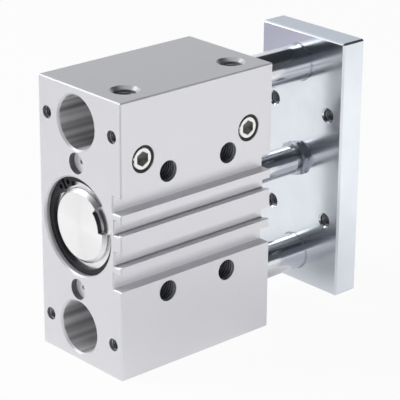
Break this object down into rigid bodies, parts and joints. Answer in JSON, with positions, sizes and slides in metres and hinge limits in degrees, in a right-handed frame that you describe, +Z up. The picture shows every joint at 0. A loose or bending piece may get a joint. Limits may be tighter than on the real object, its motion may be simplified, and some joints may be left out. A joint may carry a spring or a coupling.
{
  "type": "guided pneumatic cylinder",
  "caption": "Compact pneumatic cylinder in a slotted aluminium block, whose piston rod and parallel guide rods push a flat steel yoke plate.",
  "frame": {"origin": "middle of the housing's rear face, at the centre of its tapped corner holes", "axes": "+X along the stroke towards the yoke plate, -Y towards the slotted side, +Z up to the air ports"},
  "size_m": [0.1713, 0.064, 0.148],
  "materials": {
    "anodised_aluminium": "satin natural anodised extrusion",
    "turned_aluminium": "bright turned",
    "spring_steel": "dark phosphated",
    "plated_steel": "bright zinc plated",
    "nut_steel": "plated hexagon",
    "screw_steel": "plated socket screws",
    "plug_steel": "plated plug",
    "chromed_steel": "hard chromed and ground",
    "bearing_bronze": "sintered plain bearing",
    "seal_rubber": "moulded seal rubber",
    "bearing_plastic": "filled bearing tape",
    "bonded_magnet": "bonded ferrite"
  },
  "bodies": {
    "housing": {"housing": "anodised_aluminium", "rear_end_cap": "turned_aluminium", "rear_cap_o_ring": "seal_rubber", "rear_retaining_ring": "spring_steel", "rear_cushion_pad": "seal_rubber", "front_bearing_cap": "turned_aluminium", "front_cap_o_ring": "seal_rubber", "front_retaining_ring": "spring_steel", "front_cushion_pad": "seal_rubber", "rod_bush": "bearing_bronze", "rod_wiper_seal": "seal_rubber", "rear_blanking_plug": "plug_steel", "front_blanking_plug": "plug_steel", "rear_plug_seal": "seal_rubber", "front_plug_seal": "seal_rubber", "upper_rear_guide_bush": "bearing_bronze", "upper_front_guide_bush": "bearing_bronze", "lower_rear_guide_bush": "bearing_bronze", "lower_front_guide_bush": "bearing_bronze", "upper_guide_wiper": "seal_rubber", "lower_guide_wiper": "seal_rubber"},
    "carriage": {"yoke_plate": "plated_steel", "upper_guide_rod": "chromed_steel", "lower_guide_rod": "chromed_steel", "guide_rod_screws": "screw_steel", "piston_rod": "chromed_steel", "rod_lock_nut": "nut_steel", "piston_rear_half": "turned_aluminium", "piston_front_half": "turned_aluminium", "piston_rear_seal": "seal_rubber", "piston_front_seal": "seal_rubber", "piston_guide_ring": "bearing_plastic", "piston_magnet_ring": "bonded_magnet", "piston_nut": "nut_steel"}
  },
  "joints": [
    {"name": "stroke", "type": "slide", "parent": "housing", "child": "carriage", "axis": [1, 0, 0], "range_m": [-0.05, 0]}
  ]
}
